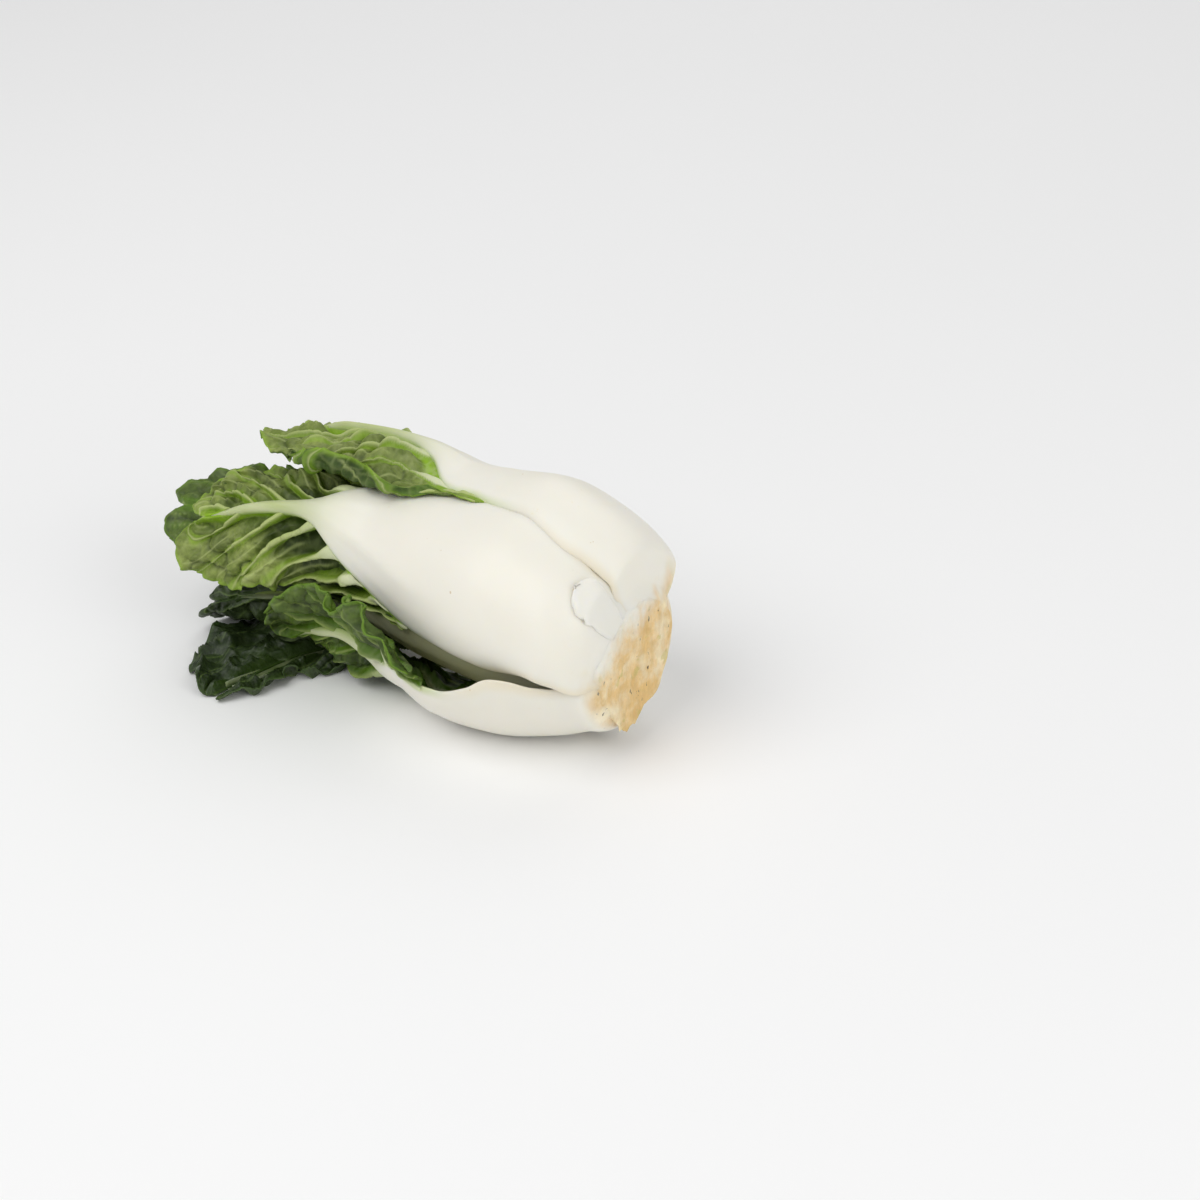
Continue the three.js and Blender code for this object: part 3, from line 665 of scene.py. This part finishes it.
def stalk_material():
    """Ivory white and smooth, greener towards the blade and its margins, warm at the foot, olive as painted shade on
    the inner faces and the inner leaves' stalks, and with midribs darkened as painted shade on shaded leaves.
    """
    material, tree, shader = new_material("stalk_skin")
    place = object_place(tree)
    station = attribute(tree, "station")
    margin = attribute(tree, "margin")
    cloud = noise_node(tree, place, 45, 3)
    white = mixed(tree, cloud, (0.90, 0.875, 0.80), (0.86, 0.83, 0.72))
    white = mixed(tree, math_node(tree, "MULTIPLY", attribute(tree, "tan"), 0.9), white, tan_colour(tree, place))
    warm = math_node(tree, "MULTIPLY", margin, ranged(tree, station, 0.75, 0.3, 0, 0.6))
    white = mixed(tree, warm, white, (0.84, 0.72, 0.50))
    # Painted shade: the stalks' inner faces, and both faces of the inner leaves' stalks, turn olive away from the
    # foot.
    olive_shade_mix = math_node(tree, "MULTIPLY", attribute(tree, "inside"), ranged(tree, station, 0.1, 0.5, 0, 0.8))
    white = mixed(tree, olive_shade_mix, white, (0.42, 0.43, 0.22))
    streak_place = object_place(tree, (25, 260, 260))
    streaks = noise_node(tree, streak_place, 1, 3)
    toward_blade = ranged(tree, station, 0.92, 1.5)
    green_amount = math_node(tree, "MULTIPLY", toward_blade, ranged(tree, streaks, 0.2, 0.7, 0.75, 1))
    # Partly painted shade: midribs of the leaves given a dark green go near black-green.
    rib_green = mixed(tree, attribute(tree, "shade"), (0.48, 0.55, 0.25), (0.075, 0.115, 0.03))
    tinted = mixed(tree, green_amount, white, rib_green)
    edge_green = math_node(tree, "MULTIPLY", margin, ranged(tree, station, 0.55, 0.8))
    tinted = mixed(tree, math_node(tree, "MULTIPLY", edge_green, 0.7), tinted, (0.42, 0.56, 0.13))
    spots = ranged(tree, noise_node(tree, place, 420, 2), 0.745, 0.79)
    stains = ranged(tree, noise_node(tree, object_place(tree, (0.8, 1, 1.2)), 150, 5, 0.65), 0.69, 0.78)
    tinted = mixed(tree, math_node(tree, "MULTIPLY", stains, 0.35), tinted, (0.80, 0.64, 0.38))
    final = mixed(tree, math_node(tree, "MULTIPLY", spots, 0.6), tinted, (0.58, 0.41, 0.2))
    tree.links.new(final, shader.inputs["Base Color"])
    tree.links.new(ranged(tree, cloud, 0.3, 0.7, 0.4, 0.5), shader.inputs["Roughness"])
    shader.inputs["Subsurface Weight"].default_value = 0.35
    shader.inputs["Subsurface Radius"].default_value = (1, 0.85, 0.55)
    shader.inputs["Subsurface Scale"].default_value = 0.004
    shader.inputs["Coat Weight"].default_value = 0.06
    shader.inputs["Coat Roughness"].default_value = 0.3
    fine = noise_node(tree, object_place(tree, (180, 1500, 1500)), 1, 4)
    bumped(tree, shader, fine, 0.25, 0.00012)
    return material


# Lit and shaded copies of one blade green: light for the leaves on top and in front, middle and dark for the leaves
# lower down, inside and behind, partly their own tone and partly painted shade.
BLADE_SHADES = {
    "light": {
        "outside": [(0.30, 0.365, 0.09), (0.135, 0.19, 0.028)],
        "inside": [(0.105, 0.19, 0.022), (0.05, 0.10, 0.012)],
        "vein": (0.46, 0.53, 0.20), "crease": (0.26, 0.47, 0.003), "margin": (0.28, 0.46, 0.03), "roughness": (0.46, 0.6),
    },
    "middle": {
        "outside": [(0.105, 0.165, 0.022), (0.045, 0.08, 0.01)],
        "inside": [(0.08, 0.15, 0.012), (0.04, 0.08, 0.007)],
        "vein": (0.27, 0.36, 0.085), "crease": (0.10, 0.22, 0.003), "margin": (0.16, 0.30, 0.02),
         "roughness": (0.38, 0.52),
    },
    "dark": {
        "outside": [(0.06, 0.09, 0.03), (0.026, 0.045, 0.013)],
        "inside": [(0.033, 0.056, 0.018), (0.016, 0.03, 0.009)],
        "vein": (0.13, 0.19, 0.055), "crease": (0.03, 0.065, 0.005), "margin": (0.05, 0.09, 0.02), "roughness": (0.3, 0.42),
    },
}


def blade_material(shade):
    """Green by face: pale and matt outside, darker and satin inside, with veins, bright creases and painted shade in
    the pockets and hollows.
    """
    colours = BLADE_SHADES[shade]
    material, tree, shader = new_material(f"blade_{shade}")
    place = object_place(tree)
    cloud = ranged(tree, noise_node(tree, place, 90, 5, 0.6), 0.3, 0.7)
    outside = mixed(tree, cloud, *colours["outside"])
    inside = mixed(tree, cloud, *colours["inside"])
    green = mixed(tree, attribute(tree, "outside"), inside, outside)
    mottle = ranged(tree, noise_node(tree, place, 620, 4, 0.7), 0.35, 0.7, 0.82, 1.12)
    grey = tree.nodes.new("ShaderNodeCombineColor")
    for socket in grey.inputs[:3]:
        tree.links.new(mottle, socket)
    green = mixed(tree, 1.0, green, grey.outputs[0], "MULTIPLY")
    # Painted shade: the pockets and hollows go nearly black-green.
    hollow_shade_green = tuple(share * part for share, part in zip((0.08, 0.12, 0.05), colours["outside"][0]))
    green = mixed(tree, math_node(tree, "MULTIPLY", attribute(tree, "hollow_shade"), 0.9), green, hollow_shade_green)
    beside = math_node(tree, "MAXIMUM", attribute(tree, "crease"), attribute(tree, "root"))
    crease = math_node(tree, "MULTIPLY", beside, 0.95)
    green = mixed(tree, crease, green, colours["crease"])
    veined = mixed(tree, math_node(tree, "MULTIPLY", attribute(tree, "vein"), 0.9), green, colours["vein"])
    margin = math_node(tree, "MULTIPLY", attribute(tree, "margin"), 0.6)
    veined = mixed(tree, margin, veined, colours["margin"])
    near_neck = ranged(tree, attribute(tree, "station"), 1.45, 0.95)
    rib_white = math_node(tree, "MULTIPLY", attribute(tree, "vein"), ranged(tree, attribute(tree, "reach"), 0.4, 0))
    rib_white = math_node(tree, "MULTIPLY", rib_white, math_node(tree, "MULTIPLY", near_neck, 0.85))
    final = mixed(tree, rib_white, veined, (0.72, 0.75, 0.52))
    tree.links.new(final, shader.inputs["Base Color"])
    low, high = colours["roughness"]
    tree.links.new(ranged(tree, cloud, 0, 1, low, high), shader.inputs["Roughness"])
    shader.inputs["Subsurface Weight"].default_value = 0.08
    shader.inputs["Subsurface Radius"].default_value = (0.7, 1, 0.2)
    shader.inputs["Subsurface Scale"].default_value = 0.0012
    shader.inputs["Specular IOR Level"].default_value = 0.35
    fine = noise_node(tree, place, 520, 6, 0.62)
    bumped(tree, shader, fine, 0.55, 0.0007)
    return material


def tan_colour(tree, place):
    """Tan with ochre patches, upright fibres and small dark specks."""
    patches = ranged(tree, noise_node(tree, place, 75, 7, 0.62), 0.36, 0.64)
    tan = mixed(tree, patches, (0.94, 0.81, 0.55), (0.80, 0.53, 0.20))
    ochre = ranged(tree, noise_node(tree, object_place(tree, (1.3, 1, 1)), 130, 5), 0.57, 0.64)
    tan = mixed(tree, math_node(tree, "MULTIPLY", ochre, 0.6), tan, (0.60, 0.50, 0.14))
    fibres = ranged(tree, noise_node(tree, object_place(tree, (420, 420, 170)), 1, 6, 0.7), 0.3, 0.72, 0.88, 1.07)
    grey = tree.nodes.new("ShaderNodeCombineColor")
    for socket in grey.inputs[:3]:
        tree.links.new(fibres, socket)
    tan = mixed(tree, 1.0, tan, grey.outputs[0], "MULTIPLY")
    specks = ranged(tree, noise_node(tree, object_place(tree, (1, 1, 0.45)), 620, 3), 0.665, 0.7)
    return mixed(tree, math_node(tree, "MULTIPLY", specks, 0.9), tan, (0.09, 0.055, 0.02))


def stem_material():
    """The cut end: rough, tan and fibrous, with ochre patches, dark specks and pale torn edges."""
    material, tree, shader = new_material("stem_cut")
    place = object_place(tree)
    tan = tan_colour(tree, place)
    final = mixed(tree, math_node(tree, "MULTIPLY", attribute(tree, "tan"), 0.95), (0.88, 0.86, 0.77), tan)
    tree.links.new(final, shader.inputs["Base Color"])
    shader.inputs["Roughness"].default_value = 0.8
    shader.inputs["Subsurface Weight"].default_value = 0.15
    shader.inputs["Subsurface Radius"].default_value = (1, 0.7, 0.35)
    shader.inputs["Subsurface Scale"].default_value = 0.002
    bumped(tree, shader, noise_node(tree, place, 1400, 5, 0.7), 0.6, 0.0004)
    return material


# ---- The stem and the stub ----

STEM_PROFILE = through([
    (0, 0), (0.2, 0.5), (0.4, 0.86), (0.52, 0.95), (0.64, 0.98), (0.76, 1), (0.9, 1), (1, 0.9),
])
STEM_ALONG = through([
    (0, -7.5), (0.2, -7.5), (0.4, -7.4), (0.52, -6.4), (0.64, -5.2), (0.76, -3.8), (0.9, -2.2), (1, -1),
])
STEM_TIP_SHARE = through([(0.1, 0), (0.36, 1), (0.44, 0.9), (0.6, 0), (1, 0)])
STEM_LOBES = [(0.035, 3, 1), (0.03, 5, 0), (0.02, 11, 0)]
STEM_TIP = {"direction": 283, "half_width": 34, "length": 0.24}


def stem():
    """The cut stem: a fibrous plate that flares out under the stalks' feet."""
    rows, sides = 120, 300
    s = np.linspace(0.002, 1, rows)[:, None]
    direction = np.linspace(0, 360, sides, endpoint=False)[None, :]
    turn = np.radians(direction)
    uneven = 1 + sum(size * np.sin(lobes * turn + phase) for size, lobes, phase in STEM_LOBES)
    from_tip = np.clip((direction - STEM_TIP["direction"]) / STEM_TIP["half_width"], -1, 1)
    teeth = 1 + 0.7 * noise(direction / 3.5, 3.3, s * 6)
    tip = STEM_TIP_SHARE(s) * STEM_TIP["length"] * np.cos(math.pi / 2 * from_tip) ** 2 * teeth
    radius = STEM_RADIUS * (uneven * STEM_PROFILE(s) + tip)
    along = STEM_ALONG(s) + 0 * direction
    y, z = radius * np.cos(turn), radius * np.sin(turn)
    rough = 0.5 * noise(y / 3.5, z / 6, s * 4) + 0.28 * noise(y / 1.2, z / 3, s * 9) + 0.16 * noise(y / 0.5, z / 1.4, s * 20)
    on_face = step(0.47, 0.36, s)
    along = along + (0.35 + rough) * on_face
    radius = radius + 0.5 * rough * step(0.25, 0.45, s) * step(0.8, 0.6, s)
    grid = around(np.maximum(along, -7.95), direction, radius)
    points = np.concatenate([grid.reshape(-1, 3), grid[:1].mean(axis=1), grid[-1:].mean(axis=1)])
    index = np.arange(rows * sides).reshape(rows, sides)
    after = np.roll(index, -1, axis=1)
    quads = np.stack([index[:-1], after[:-1], after[1:], index[1:]], axis=-1).reshape(-1, 4).tolist()
    front, back = rows * sides, rows * sides + 1
    quads += [(front, b, a) for a, b in zip(index[0].tolist(), after[0].tolist())]
    quads += [(back, a, b) for a, b in zip(index[-1].tolist(), after[-1].tolist())]
    tan = tan_share(points)
    mesh = bpy.data.meshes.new("cut_stem_fine")
    mesh.from_pydata((points * MM).tolist(), [], quads)
    mesh.attributes.new("tan", "FLOAT", "POINT").data.foreach_set("value", tan.astype(np.float32))
    mesh.materials.append(stem_material())
    mesh.shade_smooth()
    piece = bpy.data.objects.new("cut_stem_fine", mesh)
    bpy.context.scene.collection.objects.link(piece)
    return piece


STUB = {
    "direction": 57, "neck": 2,
    "path": [(-7.2, 17.5, 0), (-5.6, 24.4, 0), (-3.5, 30.8, 0), (2.8, 34.2, 0)],
}


def stub(material):
    """What is left of a leaf that was trimmed off: a short scale with a rounded end."""
    midrib_at = midrib_of(STUB)
    rows, columns = 48, 32
    way = np.linspace(0, 1, rows)[:, None]
    share = np.sin(np.linspace(-math.pi / 2, math.pi / 2, columns))[None, :]
    along, direction, radius = midrib_at(1.999 * way)
    half = 12.5 * np.maximum(0.01, 1 - way ** 6) ** 0.5
    half = half * (1 + 0.3 * noise(way * 4, share * 0.8, 0.5) + 0.1 * noise(way * 11, share, 2.5))
    along = along + 1.1 * way ** 3 * noise(share * 2.2, 0.5, 7.5)
    radius = radius - 1.1 * share ** 4 - 0.7 * way ** 8 + 0.3 * noise(share * 2, way * 3, 4.5)
    face = around(along + 0 * share, direction + share * half, radius)
    normals = grid_normals(face)
    pinch = 0.75 * (1 - np.sqrt(np.maximum(0, 1 - np.maximum(np.abs(share), way) ** 10)))
    outer = face - normals * pinch[..., None]
    inner = face - normals * (1.6 - pinch)[..., None]
    sheet = Sheet()
    sheet.add(outer, inner, station=0.4 * way, margin=0 * way, shade=0 * way, inside=0 * way, tan=tan_share(outer))
    return sheet.object("trimmed_stub_fine", material)


# ---- The head ----

def finish_piece(piece, node):
    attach(piece, "root")
    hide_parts(node)


white = stalk_material()
greens = {shade: blade_material(shade) for shade in BLADE_SHADES}
for own in LEAVES:
    leaf = {**LEAF, **own, "upper": {**HALF, **own["upper"]}, "lower": {**HALF, "seed": 5, **own["lower"]}}
    midrib_at = midrib_of(leaf)
    name = leaf["name"]
    finish_piece(stalk(leaf, midrib_at).object(f"{name}_stalk_fine", white), f"{name}_stalk")
    green = greens[leaf["shade"]]
    finish_piece(blade(leaf, midrib_at).object(f"{name}_blade_fine", green), f"{name}_blade")
finish_piece(stem(), "cut_stem")
finish_piece(stub(white), "trimmed_stub")


# ---- Floor, light and camera ----

def floor():
    mesh = bpy.data.meshes.new("floor")
    side = 6
    mesh.from_pydata([(-side, -side, 0), (side, -side, 0), (side, side, 0), (-side, side, 0)], [], [(0, 1, 2, 3)])
    material, tree, shader = new_material("pale_floor")
    place = object_place(tree)
    tree.links.new(
        mixed(tree, noise_node(tree, place, 3, 2), (0.93, 0.93, 0.93), (0.95, 0.95, 0.95)),
        shader.inputs["Base Color"],
    )
    shader.inputs["Roughness"].default_value = 0.9
    mesh.materials.append(material)
    piece = bpy.data.objects.new("floor", mesh)
    bpy.context.scene.collection.objects.link(piece)


def area_light(name, place, size, power, aim=(-0.03, 0, 0.03)):
    light = bpy.data.lights.new(name, "AREA")
    light.shape = "DISK"
    light.size = size
    light.energy = power
    lamp = bpy.data.objects.new(name, light)
    lamp.location = place
    lamp.rotation_euler = (Vector(aim) - Vector(place)).to_track_quat("-Z", "Y").to_euler()
    bpy.context.scene.collection.objects.link(lamp)


def camera():
    """The photograph's view: its middle is the lens axis, and one known point lies on its own pixel."""
    azimuth, elevation = math.radians(35.3), math.radians(30)
    photo_side, lens, sensor = 1200, 85, 36
    focal = lens / sensor * photo_side
    anchor, pixel, depth = Vector((0.047, 0.005, 0.0297)), (640, 661), 0.829
    back = Vector((
        math.sin(azimuth) * math.cos(elevation), -math.cos(azimuth) * math.cos(elevation), math.sin(elevation),
    ))
    right = Vector((math.cos(azimuth), math.sin(azimuth), 0))
    up = back.cross(right)
    middle = photo_side / 2
    place = anchor + back * depth
    place += (up * (pixel[1] - middle) - right * (pixel[0] - middle)) * depth / focal
    data = bpy.data.cameras.new("camera")
    data.lens = lens
    data.sensor_width = sensor
    data.clip_start = 0.01
    view = bpy.data.objects.new("camera", data)
    view.matrix_world = Matrix.Translation(place) @ Matrix((right, up, back)).transposed().to_4x4()
    bpy.context.scene.collection.objects.link(view)
    bpy.context.scene.camera = view


floor()
area_light("key", (-0.35, -0.75, 1.15), 1.3, 9.8)
area_light("fill", (1.0, -0.1, 0.55), 1.1, 4)
area_light("back", (-0.3, 0.9, 0.9), 1.0, 2.5)
camera()
world = bpy.data.worlds.new("soft_room")
world.use_nodes = True
world.node_tree.nodes["Background"].inputs["Color"].default_value = (1, 1, 1, 1)
world.node_tree.nodes["Background"].inputs["Strength"].default_value = 0.42
bpy.context.scene.world = world
bpy.context.scene.view_settings.view_transform = "Standard"
